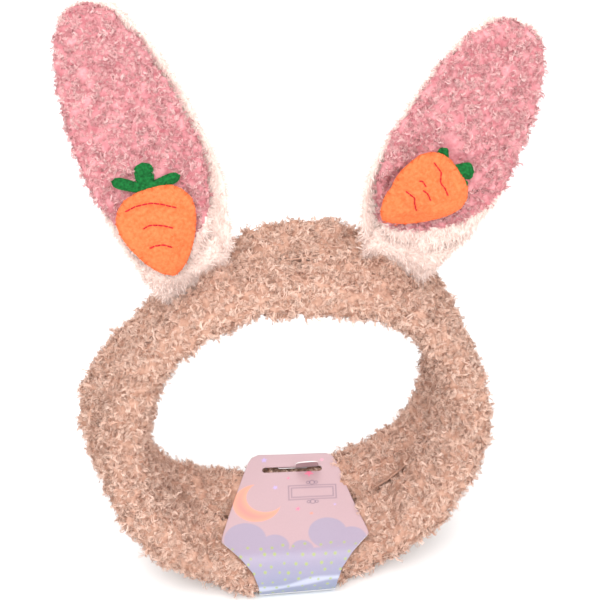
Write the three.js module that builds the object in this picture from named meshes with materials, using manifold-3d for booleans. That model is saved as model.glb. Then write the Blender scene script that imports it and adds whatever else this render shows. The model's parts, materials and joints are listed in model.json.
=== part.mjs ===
// Animal ears headband: a soft fleece hair band in two padded lobes, with two plush rabbit ears,
// a padded carrot on each ear, and the folded card that it is sold in.
// Millimetres, seen from the front, where the ears show their pink faces: -Y is to the front,
// +X to the right and +Z up. The left ear is the one on the left from there, at -X.
// The band stands on the card under its nape, and z = 0 is the face that it rests on.
import * as THREE from 'three';
import { mergeVertices } from 'three/addons/utils/BufferGeometryUtils.js';
import Module from 'manifold-3d';

const wasm = await Module();
wasm.setup();

// ---------- driving dimensions ----------
const GAP = 0.35;                   // kept between any two pieces that touch

const CARD_THICKNESS = 0.6;
const REST_HEIGHT = CARD_THICKNESS + GAP;     // the band's underside, over the card

const BAND_RADIUS = 86.5;           // elastic line to the middle of the loop
const BAND_FULLNESS = 2.2;          // superellipse power of the lower half, 2 would be round
const LOBE_OFFSET = 17;             // middle of each lobe from the elastic's plane, at the sides
const LOBE_HALF_WIDTH = 19;
const LOBE_HALF_THICKNESS = 11.5;
const LOBE_GROWTH_WIDTH = 1.3;      // the lobes are this much wider at the nape, narrower on top
const LOBE_GROWTH_THICKNESS = 2.7;
const FLEECE = 2.6;                 // fleece cloth with its pile
const SEAM_HALF_GAP = 0.4;
const TURNED_EDGE = 2.4;            // half thickness of a cover's edge, where it is turned in
const LOOP_CENTRE_HEIGHT = 101.5;
const BAND_STEPS = 44;
const LOBE_ARC_POINTS = 9;

// how the limp loop slumps: [degrees round the loop, mm outward, spread in degrees]
const LOOP_SLUMP = [[135, -4, 32], [192, 2.5, 25]];
const TILT_SLUMP = [[130, 4, 30], [188, -3, 25], [270, 2, 40]];
const BACK_LOBE_NAPE_SWELL = 2.5;
// half width of the dent that the card presses in the nape, [y, half width]
const PINCH_HALF_WIDTHS = [[-40, 42], [-18, 42], [31, 28]];

const ELASTIC_WIDTH = 8;
const ELASTIC_THICKNESS = 1.2;
const ELASTIC_ROOM = 5;             // from the seam plane to each wadding
const WADDING_GAP = 1.2;            // between the fleece and the wadding in it
const THREAD_RADIUS = 0.5;
const CARD_STANDOFF = 2.2;          // from the middle of the card's upper panel to the fleece
const PRESSED_LAYERS = 1.3;         // how much farther down the inner layers go under the card

const HINGE_RADIUS = 101;           // loop centre to the line where an ear bends
const EAR_ROOT = { thickness: 2.4, length: 38, inner: 94.2, outer: 96.2 };
const EAR_CUP = 4.5;                // how far the ear's edges curl to the front
const EAR_HALF_SPAN = 29;
const PLUSH = 3.2;
const EAR_BACK_SWELL = 4.2;
const EAR_FRONT_SWELL = 4.2;
const EAR_LENGTH = 141.5;
// half outline of an ear: [height above the hinge line, half width]
const EAR_OUTLINE = [[-2.4, 13], [1.5, 19.5], [14, 24.5], [36, 28.7], [58, 28.7], [80, 27.2],
  [98, 24.5], [116, 20.5], [130, 15], [137.5, 8]];
const PINK_OUTLINE = [[7.5, 6], [11, 11.5], [18, 16.5], [30, 22], [45, 25.5], [62, 27.2], [80, 26],
  [98, 23.4], [116, 19.3], [129, 14], [136, 7.5]];

const EAR_OUTLINE_POINTS = 28;
const WIDENING_HEIGHT = 20;         // above its hinge line an ear is widened gradually up to here

const FELT = 0.9;
const VELOUR = 1.4;
const CARROT_SWELL = 6.2;
const CARROT_DEPTH = 9.4;           // the backing's rear face, in front of the ear's seam
const CARROT_OUTLINE = [[0, 19.6], [11.2, 18.4], [18, 12], [18.8, 3.8], [14.2, -9], [7.2, -19.4],
  [0, -24.2]];
const CARROT_OUTLINE_POINTS = 22;
const LEAF_ANGLES = [58, 0, -58];   // degrees from straight up
const LEAF = { length: 12.5, halfWidth: 4.4, spacing: 7, footHalfWidth: 9, notch: 1.5 };
const STITCH_RADIUS = 0.45;
// stitched lines on a carrot: [from x, to x, height, how far the middle arches up]
const STITCHES = {
  stitch_top: [-12, 11, 10.5, 2.6],
  stitch_middle: [-5, 9.5, 2.5, 1.6],
  stitch_middle_left: [-7, -0.6, 1.5, 1.4],
  stitch_middle_right: [0.6, 7, 2.4, 1.4],
  stitch_bottom: [-4, 7.5, -7.5, 2],
};
const LEFT_STITCHES = ['stitch_top', 'stitch_middle', 'stitch_bottom'];
const RIGHT_STITCHES = ['stitch_top', 'stitch_middle_left', 'stitch_middle_right', 'stitch_bottom'];

// turn: degrees round the loop from its top; splay, lean and twist: degrees about the ear's
// depth, width and height; back, bow, pinkShift: mm; wide and long: shares of the outlines above
const EARS = [
  { side: 'left', turn: 27.5, splay: -18.8, lean: 22, twist: 6, back: 2, bow: 2,
    wide: 1, long: 1, pinkShift: -3, carrot: { x: -6.1, z: 28.5, turn: -4.8 },
    stitches: LEFT_STITCHES },
  { side: 'right', turn: -33, splay: 25, lean: 2, twist: -6, back: 4, bow: -2,
    wide: 1.12, long: 0.965, pinkShift: 0, carrot: { x: -9, z: 42.3, turn: -32 },
    stitches: RIGHT_STITCHES },
];

// side profile of the card, [y, z], from the fold under the front of the nape
const FRONT_PANEL_PATH = [[-38.3, 4.9], [-41.2, 12], [-40.3, 21], [-34, 28.8], [-22, 31.6],
  [0, 34], [20, 36.8], [31, 37.9]];
const BACK_PANEL_PATH = [[-37.6, 3.7], [-34.6, 1.3], [-30, 0.35], [-25, 0.3], [0, 0.3], [25, 0.3],
  [31, 0.6], [37, 3.4], [41, 9.5], [42, 18], [39.6, 27.5], [34, 33.4], [27.5, 35.3], [22.5, 35.6]];
const PANEL_ROWS_IN_FRONT = 3;      // rows of the front panel that stand in front of the band
// half widths of the card along each panel, [share of its length, half width]
const FRONT_PANEL_WIDTHS = [[0, 19.8], [0.1, 20.5], [0.19, 23], [0.27, 28.5], [0.34, 34.5],
  [0.385, 38.4], [0.42, 37.8], [0.94, 23.5], [0.98, 21.5], [1, 18]];
const BACK_PANEL_WIDTHS = [[0, 19.8], [0.08, 21.5], [0.16, 27], [0.25, 36], [0.29, 38.2],
  [0.33, 37.6], [0.8, 22], [0.9, 20], [0.97, 9], [1, 7.5]];
const SLOT = { y: 20.4, length: 32, width: 3.8 };
const TONGUE = { halfWidth: 6, x: 8, foot: 35.6, rise: 3.6 };
const CARD_YAW = THREE.MathUtils.degToRad(-4);

const COLOURS = {
  fleece: 0xdfba9e, pink: 0xf2b4bd, plush: 0xf4e9e4, orange: 0xfd9a57, leaf: 0x1f7a3a,
  thread: 0xd92b3f, wadding: 0xf6f4ee, elastic: 0xe9e2d8, card: 0xf3d3df, bandThread: 0xe6cbb4,
};

// ---------- shared helpers ----------
const vec = (x, y, z) => new THREE.Vector3(x, y, z);
const rad = THREE.MathUtils.degToRad;

function named(name, geometry, colour, roughness = 0.95) {
  const material = new THREE.MeshStandardMaterial({ color: colour, roughness, metalness: 0 });
  const mesh = new THREE.Mesh(geometry, material);
  mesh.name = name;
  return mesh;
}

// value of a table of [position, value] rows at a position, straight between its rows
function lookUp(rows, at) {
  const next = rows.findIndex((row) => row[0] >= at);
  if (next === 0) return rows[0][1];
  if (next < 0) return rows[rows.length - 1][1];
  const [a, b] = [rows[next - 1], rows[next]];
  return THREE.MathUtils.lerp(a[1], b[1], (at - a[0]) / (b[0] - a[0]));
}

function facingOut(geometry) {
  const p = geometry.attributes.position, index = geometry.index.array;
  const corner = (i) => vec(p.getX(index[i]), p.getY(index[i]), p.getZ(index[i]));
  let volume = 0;
  for (let i = 0; i < index.length; i += 3) {
    volume += corner(i).dot(corner(i + 1).cross(corner(i + 2)));
  }
  if (volume < 0) {
    for (let i = 0; i < index.length; i += 3) {
      [index[i], index[i + 1]] = [index[i + 1], index[i]];
    }
  }
  geometry.computeVertexNormals();
  return geometry;
}

// a closed body through rings of equal count; a row that isn't a loop is capped at both ends
function loft(rings, isLoop = false) {
  const count = rings[0].length;
  const position = rings.flat().flatMap((p) => [p.x, p.y, p.z]);
  const index = [];
  const spans = isLoop ? rings.length : rings.length - 1;
  for (let i = 0; i < spans; i++) {
    const a = i * count, b = ((i + 1) % rings.length) * count;
    for (let j = 0; j < count; j++) {
      const k = (j + 1) % count;
      index.push(a + j, b + j, b + k, a + j, b + k, a + k);
    }
  }
  if (!isLoop) {
    cap(rings[0], 0, position, index, false);
    cap(rings[rings.length - 1], (rings.length - 1) * count, position, index, true);
  }
  const geometry = new THREE.BufferGeometry();
  geometry.setAttribute('position', new THREE.Float32BufferAttribute(position, 3));
  geometry.setIndex(index);
  return facingOut(geometry);
}

function cap(ring, first, position, index, isLast) {
  const centre = ring.reduce((sum, p) => sum.add(p), vec(0, 0, 0)).divideScalar(ring.length);
  const middle = position.length / 3;
  position.push(centre.x, centre.y, centre.z);
  for (let j = 0; j < ring.length; j++) {
    const a = first + j, b = first + (j + 1) % ring.length;
    index.push(...(isLast ? [middle, b, a] : [middle, a, b]));
  }
}

function toSolid(geometry) {
  const bare = geometry.clone();
  bare.deleteAttribute('normal');
  bare.deleteAttribute('uv');
  const merged = mergeVertices(bare, 1e-4);
  return new wasm.Manifold(new wasm.Mesh({
    numProp: 3, vertProperties: merged.attributes.position.array,
    triVerts: new Uint32Array(merged.index.array),
  }));
}

function fromSolid(solid) {
  const mesh = solid.getMesh();
  const geometry = new THREE.BufferGeometry();
  geometry.setAttribute('position', new THREE.BufferAttribute(mesh.vertProperties, 3));
  geometry.setIndex(new THREE.BufferAttribute(mesh.triVerts, 1));
  geometry.computeVertexNormals();
  return geometry;
}

function thread(points, radius) {
  const circle = new THREE.Shape().absarc(0, 0, radius, 0, Math.PI * 2);
  const path = new THREE.CatmullRomCurve3(points);
  const geometry = new THREE.ExtrudeGeometry(circle, {
    steps: points.length + 1, curveSegments: 3, extrudePath: path, bevelEnabled: false,
  });
  geometry.deleteAttribute('uv');
  geometry.deleteAttribute('normal');
  return facingOut(mergeVertices(geometry, 1e-4));
}

// ---------- band ----------
function bumps(rows, angle) {
  return rows.reduce((sum, [degrees, height, spread]) => {
    const away = Math.atan2(Math.sin(angle - rad(degrees)), Math.cos(angle - rad(degrees)));
    return sum + height * Math.exp(-((away / rad(spread)) ** 2));
  }, 0);
}

function loopPoint(angle) {
  const c = Math.cos(angle), s = Math.sin(angle);
  const power = s < 0 ? BAND_FULLNESS : 2;
  const stretch = (Math.abs(c) ** power + Math.abs(s) ** power) ** (-1 / power);
  const radius = (BAND_RADIUS + bumps(LOOP_SLUMP, angle)) * stretch;
  return vec(radius * c, 0, LOOP_CENTRE_HEIGHT + radius * s);
}

// outward direction across the loop's line
function loopNormal(angle) {
  const along = loopPoint(angle + 0.01).sub(loopPoint(angle - 0.01)).normalize();
  return vec(along.z, 0, -along.x);
}

// height of the card's upper panel over the band at a given y
function cardUnderside(y) {
  const overBand = FRONT_PANEL_PATH.slice(PANEL_ROWS_IN_FRONT);
  return lookUp(overBand, y) - CARD_STANDOFF;
}

// keeps a point of the nape above the resting face and under the card, by its layer's depth
function pressNape(point, depth) {
  const floor = REST_HEIGHT + depth;
  if (point.z < floor) point.z = floor;
  const beside = Math.max(0, Math.abs(point.x) - lookUp(PINCH_HALF_WIDTHS, point.y));
  const ceiling = cardUnderside(point.y) - PRESSED_LAYERS * depth + beside;
  if (point.z < LOOP_CENTRE_HEIGHT / 2 && point.z > ceiling) point.z = ceiling;
  return point;
}

// half width, half thickness and middle of a lobe's section
function lobeSize(angle, side) {
  const low = -Math.sin(angle);
  const swell = side > 0 ? BACK_LOBE_NAPE_SWELL * Math.max(0, low) ** 3 : 0;
  const width = LOBE_HALF_WIDTH + LOBE_GROWTH_WIDTH * low;
  const middle = width - (LOBE_HALF_WIDTH - LOBE_OFFSET);
  const thickness = LOBE_HALF_THICKNESS + LOBE_GROWTH_THICKNESS * low + swell;
  return { width, middle, thickness };
}

// a point of a lobe's section: reach from the seam plane, lift outward from the elastic line
function lobePoint(angle, side, reach, lift, depth) {
  const tilt = bumps(TILT_SLUMP, angle) * -side * Math.min(1.6, reach / LOBE_OFFSET);
  const outward = loopNormal(angle).multiplyScalar(lift + tilt);
  const point = loopPoint(angle).add(outward);
  point.y = side * reach;
  return pressNape(point, depth);
}

// the lobe's oval, drawn in by a depth and cut off at a reach from the seam plane
function lobeArc(angle, side, depth, cut) {
  const { width, middle, thickness } = lobeSize(angle, side);
  const [a, b] = [width - depth, thickness - depth];
  const start = Math.acos(THREE.MathUtils.clamp((middle - cut) / a, -1, 1));
  const points = [];
  for (let i = 0; i < LOBE_ARC_POINTS; i++) {
    const t = THREE.MathUtils.lerp(start, 2 * Math.PI - start, i / (LOBE_ARC_POINTS - 1));
    points.push(lobePoint(angle, side, middle - a * Math.cos(t), b * Math.sin(t), depth));
  }
  return points;
}

function bandRings(section) {
  const rings = [];
  for (let i = 0; i < BAND_STEPS; i++) rings.push(section((2 * Math.PI * i) / BAND_STEPS));
  return rings;
}

// fleece wrapped round a lobe, with its two edges turned in to the seam
function lobeCover(side) {
  return loft(bandRings((angle) => {
    const outer = lobeArc(angle, side, 0, SEAM_HALF_GAP);
    const inner = lobeArc(angle, side, FLEECE, ELASTIC_ROOM).reverse();
    const edge = (lift) => lobePoint(angle, side, SEAM_HALF_GAP, lift, FLEECE);
    return [...outer, edge(-TURNED_EDGE), ...inner, edge(TURNED_EDGE)];
  }), true);
}

function lobeWadding(side) {
  const depth = FLEECE + WADDING_GAP;
  return loft(bandRings((angle) => lobeArc(angle, side, depth, ELASTIC_ROOM + GAP)), true);
}

function elastic() {
  const [w, t] = [ELASTIC_WIDTH / 2, ELASTIC_THICKNESS / 2];
  return loft(bandRings((angle) => [[-w, -t], [w, -t], [w, t], [-w, t]].map(([y, lift]) => {
    const point = loopPoint(angle).addScaledVector(loopNormal(angle), lift);
    point.y = y;
    return point;
  })), true);
}

// stitching that lies in the valley between the lobes, all the way round
function seamThread(facing) {
  const sides = 5;
  return loft(bandRings((angle) => {
    const { width, middle, thickness } = lobeSize(angle, 1);
    const valley = thickness * Math.sqrt(1 - ((middle - THREAD_RADIUS) / width) ** 2);
    const lift = facing * (valley + THREAD_RADIUS + GAP);
    const ring = [];
    for (let i = 0; i < sides; i++) {
      const t = (2 * Math.PI * i) / sides;
      const out = loopNormal(angle).multiplyScalar(lift + THREAD_RADIUS * Math.cos(t));
      const point = loopPoint(angle).add(out);
      point.y = THREAD_RADIUS * Math.sin(t);
      ring.push(point);
    }
    return ring;
  }), true);
}

// ---------- ears ----------
// In an ear's own frame x runs across it, z up it, and -y is its pink front. Every layer of the
// ear is bent by the same cup, so that layers stay clear of each other.
const earPoint = (x, z, depth) => vec(x, -depth - EAR_CUP * (x / EAR_HALF_SPAN) ** 2, z);

function outlineOf(rows, spec, shift) {
  const { clamp } = THREE.MathUtils;
  const middle = (z) => shift + spec.bow * Math.sin(Math.PI * clamp(z / EAR_LENGTH, 0, 1));
  const sized = rows.map(([z, half]) => [z * spec.long,
    half * (1 + (spec.wide - 1) * clamp(z / WIDENING_HEIGHT, 0, 1))]);
  const right = sized.map(([z, half]) => vec(middle(z) + half, 0, z));
  const left = sized.map(([z, half]) => vec(middle(z) - half, 0, z)).reverse();
  const curve = new THREE.CatmullRomCurve3([...right, ...left], true, 'centripetal');
  return curve.getSpacedPoints(EAR_OUTLINE_POINTS).slice(0, EAR_OUTLINE_POINTS);
}

function centreOf(outline) {
  const box = new THREE.Box3().setFromPoints(outline);
  return box.getCenter(vec(0, 0, 0));
}

// rings of an outline drawn in towards its centre, each at its own depth
function drawnIn(outline, shares, depthAt) {
  const centre = centreOf(outline);
  return shares.map((share) => outline.map((p) => {
    const q = centre.clone().lerp(p, share);
    return earPoint(q.x, q.z, depthAt(share));
  }));
}

const SHARES = [0.2, 0.55, 0.8, 0.95, 1];
const dome = (share) => Math.max(0, 1 - share ** 2) ** 0.8;

// a dished cloth: its outer face, its rim and its inner face are one closed body
function dish(outline, rim, thickness, swell, facing) {
  const face = (from) => (s) => facing * (from + swell * dome(s));
  const inner = drawnIn(outline, SHARES.map((s) => s * 0.93), face(rim));
  const outer = drawnIn(outline, SHARES, face(rim + thickness));
  const edge = drawnIn(outline, [1], () => facing * rim);
  return loft([...inner, ...edge, ...outer.reverse()]);
}

// a lens of wadding between two dished cloths
function lens(outline, share, front, back) {
  const shares = SHARES.map((s) => s * share);
  const ahead = drawnIn(outline, shares, (s) => front * dome(s / share) + 0.1);
  const behind = drawnIn(outline, shares, (s) => -back * dome(s / share) - 0.1);
  return loft([...ahead, ...behind.reverse()]);
}

function earFrame(ear) {
  const frame = new THREE.Group();
  const turn = rad(90 + ear.turn);
  frame.position.set(HINGE_RADIUS * Math.cos(turn), ear.back,
    LOOP_CENTRE_HEIGHT + HINGE_RADIUS * Math.sin(turn));
  frame.rotation.set(-rad(ear.lean), rad(ear.splay), rad(ear.twist), 'YXZ');
  return frame;
}

// the strip of ear cloth that is sewn into the band's seam, under the ear
function earRoot(ear) {
  const rings = [];
  const half = THREE.MathUtils.radToDeg(EAR_ROOT.length / 2 / EAR_ROOT.outer);
  for (let i = 0; i <= 8; i++) {
    const angle = rad(90 + ear.turn + THREE.MathUtils.lerp(-half, half, i / 8));
    rings.push([[EAR_ROOT.inner, -1], [EAR_ROOT.inner, 1], [EAR_ROOT.outer, 1],
      [EAR_ROOT.outer, -1]].map(([radius, side]) => vec(radius * Math.cos(angle),
      side * EAR_ROOT.thickness / 2, LOOP_CENTRE_HEIGHT + radius * Math.sin(angle))));
  }
  return loft(rings);
}

// ---------- carrots ----------
function carrotOutline(carrot) {
  const left = CARROT_OUTLINE.slice(1, -1).map(([x, z]) => [-x, z]).reverse();
  const rows = [...CARROT_OUTLINE, ...left];
  const curve = new THREE.CatmullRomCurve3(rows.map(([x, z]) => vec(x, 0, z)), true);
  return curve.getSpacedPoints(CARROT_OUTLINE_POINTS).slice(0, CARROT_OUTLINE_POINTS)
    .map((p) => placeOnEar(p, carrot));
}

function placeOnEar(point, carrot) {
  return point.clone().applyAxisAngle(vec(0, 1, 0), -rad(carrot.turn)).add(vec(carrot.x, 0, carrot.z));
}

function carrotBacking(outline) {
  const shares = [0.3, 0.7, 0.93];
  return loft([...drawnIn(outline, shares, () => CARROT_DEPTH),
    ...drawnIn(outline, shares, () => CARROT_DEPTH + FELT).reverse()]);
}

const COVER_DEPTH = CARROT_DEPTH + FELT + 2 * GAP;

function carrotWadding(outline) {
  const size = 0.84;
  const swell = (CARROT_SWELL - GAP) * 0.82;
  const shares = SHARES.map((s) => s * size);
  const over = (s) => COVER_DEPTH + 0.3 + swell * dome(s / size);
  return loft([...drawnIn(outline, shares, () => COVER_DEPTH),
    ...drawnIn(outline, shares, over).reverse()]);
}

function carrotCover(outline) {
  const inside = 0.93;
  const hollow = (s) => COVER_DEPTH + CARROT_SWELL * dome(s / inside);
  const under = drawnIn(outline, SHARES.map((s) => s * inside), hollow);
  const over = drawnIn(outline, SHARES, (s) => COVER_DEPTH + VELOUR + CARROT_SWELL * dome(s));
  const edge = drawnIn(outline, [1], () => COVER_DEPTH);
  return loft([...under, ...edge, ...over.reverse()]);
}

// depth of the carrot's outer face at a point of the ear
function carrotFace(outline, x, z) {
  const centre = centreOf(outline);
  const away = Math.hypot(x - centre.x, z - centre.z);
  const heading = Math.atan2(z - centre.z, x - centre.x);
  let best = Infinity, reach = 1;
  for (const p of outline) {
    const turn = Math.abs(Math.atan2(p.z - centre.z, p.x - centre.x) - heading);
    const gap = Math.min(turn, 2 * Math.PI - turn);
    if (gap < best) {
      best = gap;
      reach = Math.hypot(p.x - centre.x, p.z - centre.z);
    }
  }
  return COVER_DEPTH + VELOUR + CARROT_SWELL * dome(Math.min(1, away / reach));
}

// one stitched line across the carrot, a shallow arch from x = a to x = b at height z
function carrotStitch(outline, carrot, [a, b, z, arch]) {
  const points = [];
  for (let i = 0; i <= 6; i++) {
    const t = i / 6;
    const flat = vec(THREE.MathUtils.lerp(a, b, t), 0, z + arch * Math.sin(Math.PI * t));
    const p = placeOnEar(flat, carrot);
    points.push(earPoint(p.x, p.z, carrotFace(outline, p.x, p.z) + STITCH_RADIUS + GAP));
  }
  return thread(points, STITCH_RADIUS);
}

function leavesShape() {
  const { length, halfWidth, spacing, footHalfWidth, notch } = LEAF;
  const shape = new THREE.Shape();
  shape.moveTo(-footHalfWidth, 0);
  LEAF_ANGLES.forEach((degrees, i) => {
    const along = [-Math.sin(rad(degrees)), Math.cos(rad(degrees))];
    const across = [along[1], -along[0]];
    const footX = spacing * (i - 1);
    const at = (l, w) => [footX + along[0] * l + across[0] * w, 0.5 + along[1] * l + across[1] * w];
    const belly = (side) => at(length * 0.6, side * halfWidth * 1.3);
    shape.lineTo(...at(notch, -halfWidth * 0.6));
    shape.quadraticCurveTo(...belly(-1), ...at(length, 0));
    shape.quadraticCurveTo(...belly(1), ...at(notch, halfWidth * 0.6));
  });
  shape.lineTo(footHalfWidth, 0);
  return shape;
}

// three felt leaves cut in one piece
function carrotLeaves(carrot) {
  const cut = { depth: FELT, bevelEnabled: false, curveSegments: 4 };
  const felt = new THREE.ExtrudeGeometry(leavesShape(), cut);
  felt.deleteAttribute('uv');
  felt.deleteAttribute('normal');
  const merged = mergeVertices(felt, 1e-4);
  const p = merged.attributes.position;
  const foot = CARROT_OUTLINE[0][1] - 0.2;
  for (let i = 0; i < p.count; i++) {
    const q = placeOnEar(vec(p.getX(i), 0, p.getY(i) + foot), carrot);
    const bent = earPoint(q.x, q.z, CARROT_DEPTH + p.getZ(i));
    p.setXYZ(i, bent.x, bent.y, bent.z);
  }
  return facingOut(merged);
}

function ear(spec) {
  const frame = earFrame(spec);
  const full = outlineOf(EAR_OUTLINE, spec, 0);
  const pink = outlineOf(PINK_OUTLINE, spec, spec.pinkShift);
  const carrot = carrotOutline(spec.carrot);
  const add = (name, geometry, colour) => frame.add(named(`${spec.side}_${name}`, geometry, colour));
  add('ear_back', dish(full, GAP / 2, PLUSH, EAR_BACK_SWELL, -1), COLOURS.plush);
  add('ear_wadding', lens(pink, 0.86, EAR_FRONT_SWELL - 1, EAR_BACK_SWELL - 1.2), COLOURS.wadding);
  add('ear_front', dish(pink, GAP / 2, PLUSH, EAR_FRONT_SWELL, 1), COLOURS.pink);
  add('carrot_backing', carrotBacking(carrot), COLOURS.orange);
  add('carrot_wadding', carrotWadding(carrot), COLOURS.wadding);
  add('carrot_cover', carrotCover(carrot), COLOURS.orange);
  add('carrot_leaves', carrotLeaves(spec.carrot), COLOURS.leaf);
  for (const name of spec.stitches) {
    const stitch = carrotStitch(carrot, spec.carrot, STITCHES[name]);
    add(`carrot_${name}`, stitch, COLOURS.thread);
  }
  return frame;
}

// ---------- card ----------
// a strip of card bent along a side profile, as wide at each place as its table says
function bentCard(path, widths) {
  const curve = new THREE.CatmullRomCurve3(path.map(([y, z]) => vec(0, y, z)), false, 'centripetal');
  const steps = 32;
  const rings = [];
  for (let i = 0; i <= steps; i++) {
    const share = i / steps;
    const p = curve.getPointAt(share), along = curve.getTangentAt(share);
    const up = vec(0, -along.z, along.y).multiplyScalar(CARD_THICKNESS / 2);
    const half = lookUp(widths, share);
    rings.push([[-1, -1], [1, -1], [1, 1], [-1, 1]].map(([side, face]) =>
      vec(side * half, p.y + face * up.y, Math.max(0, p.z + face * up.z))));
  }
  return loft(rings);
}

function hangSlot() {
  const r = SLOT.width / 2, reach = SLOT.length / 2 - r;
  const shape = new THREE.Shape();
  shape.absarc(reach, 0, r, -Math.PI / 2, Math.PI / 2);
  shape.absarc(-reach, 0, r, Math.PI / 2, 1.5 * Math.PI);
  const through = { depth: 12, bevelEnabled: false, curveSegments: 6 };
  const prism = new THREE.ExtrudeGeometry(shape, through);
  return prism.translate(0, SLOT.y, 31);
}

function frontPanel() {
  const sheet = toSolid(bentCard(FRONT_PANEL_PATH, FRONT_PANEL_WIDTHS));
  return fromSolid(sheet.subtract(toSolid(hangSlot())));
}

// the back panel ends in a tongue that is bent up through the right half of the slot
function backPanel() {
  const sheet = toSolid(bentCard(BACK_PANEL_PATH, BACK_PANEL_WIDTHS));
  const tongue = new THREE.BoxGeometry(2 * TONGUE.halfWidth, CARD_THICKNESS, TONGUE.rise);
  tongue.translate(TONGUE.x, SLOT.y + 0.4, TONGUE.foot + TONGUE.rise / 2);
  const bridge = new THREE.BoxGeometry(2 * TONGUE.halfWidth, 3.6, CARD_THICKNESS);
  bridge.translate(TONGUE.x, SLOT.y + 1.9, TONGUE.foot);
  return fromSolid(sheet.add(toSolid(tongue)).add(toSolid(bridge)));
}

// ---------- the headband ----------
const headband = new THREE.Group();

function addBand() {
  headband.add(named('band_front_cover', lobeCover(-1), COLOURS.fleece));
  headband.add(named('band_back_cover', lobeCover(1), COLOURS.fleece));
  headband.add(named('band_front_wadding', lobeWadding(-1), COLOURS.wadding));
  headband.add(named('band_back_wadding', lobeWadding(1), COLOURS.wadding));
  headband.add(named('centre_elastic', elastic(), COLOURS.elastic));
  headband.add(named('outer_seam_thread', seamThread(1), COLOURS.bandThread));
  headband.add(named('inner_seam_thread', seamThread(-1), COLOURS.bandThread));
}

function addCard() {
  const card = new THREE.Group();
  card.rotation.z = CARD_YAW;
  card.add(named('card_front_panel', frontPanel(), COLOURS.card, 0.3));
  card.add(named('card_back_panel', backPanel(), COLOURS.card, 0.3));
  headband.add(card);
}

addBand();
for (const spec of EARS) {
  headband.add(named(`${spec.side}_ear_root`, earRoot(spec), COLOURS.plush));
  headband.add(ear(spec));
}
addCard();

export default headband;
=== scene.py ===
"""Animal ears headband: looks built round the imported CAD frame.

Metres, in the frame of the CAD part: -Y is to the front, +X right and +Z up.
Each cloth piece starts as the CAD solid it stands for. It is remeshed, puffed as cloth and made
lumpy, and then covered with its pile, which is real geometry: thin curled ribbons of fibre.
"""
import json
import math

import bmesh
import bpy
import numpy as np
from mathutils import Matrix, Vector, noise
from mathutils.bvhtree import BVHTree
from mathutils.kdtree import KDTree


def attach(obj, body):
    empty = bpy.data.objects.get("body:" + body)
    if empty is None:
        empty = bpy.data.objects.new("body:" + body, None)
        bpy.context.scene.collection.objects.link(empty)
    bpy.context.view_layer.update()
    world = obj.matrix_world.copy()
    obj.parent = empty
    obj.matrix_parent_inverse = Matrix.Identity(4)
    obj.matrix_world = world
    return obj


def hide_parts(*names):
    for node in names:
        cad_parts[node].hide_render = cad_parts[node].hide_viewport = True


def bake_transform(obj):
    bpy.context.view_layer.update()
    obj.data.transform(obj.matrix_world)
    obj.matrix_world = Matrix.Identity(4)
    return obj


MM = 0.001
TINY = 1e-9
SEED = 20260
SQUASH = 2.0 * MM       # height below which a soft piece is pressed flat by the floor
SQUASH_DEPTH = 4.0      # times that height below it within which lower points still end up lower
FREE_REACH = 8 * MM     # how far above the cloth the pile looks for something in its way
FREE_SHARE = 0.7        # most of the free height that a fibre takes up
PILE_GAP = 0.9 * MM     # least free height that still has pile
PILE_ROOT = 0.4 * MM    # how deep in the cloth a fibre starts

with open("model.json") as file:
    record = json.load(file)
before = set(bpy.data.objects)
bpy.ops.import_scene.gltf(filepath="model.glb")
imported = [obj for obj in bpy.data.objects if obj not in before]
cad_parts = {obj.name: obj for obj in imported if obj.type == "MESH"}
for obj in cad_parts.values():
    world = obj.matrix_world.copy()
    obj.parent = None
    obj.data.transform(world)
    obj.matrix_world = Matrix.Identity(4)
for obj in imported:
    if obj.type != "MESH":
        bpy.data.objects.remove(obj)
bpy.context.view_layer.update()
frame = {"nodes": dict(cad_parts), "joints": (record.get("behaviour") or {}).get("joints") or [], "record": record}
scene = bpy.context.scene
scene.view_settings.view_transform = "Standard"

LOOP_CENTRE = next(np.array(m["pos_m"]) for m in frame["record"]["mounts"]
                   if m["name"] == "head_loop")

# camera
VIEW_AZIMUTH = 10       # degrees round to the left from the loop's front
VIEW_ELEVATION = 41     # degrees above level
VIEW_DISTANCE = 1.1     # metres from the loop's centre
LENS = 130
SENSOR = 36
AIM_RIGHT = 0.0053      # tangent of the angle from the loop's centre to the picture's centre
AIM_UP = 0.0475

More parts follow.
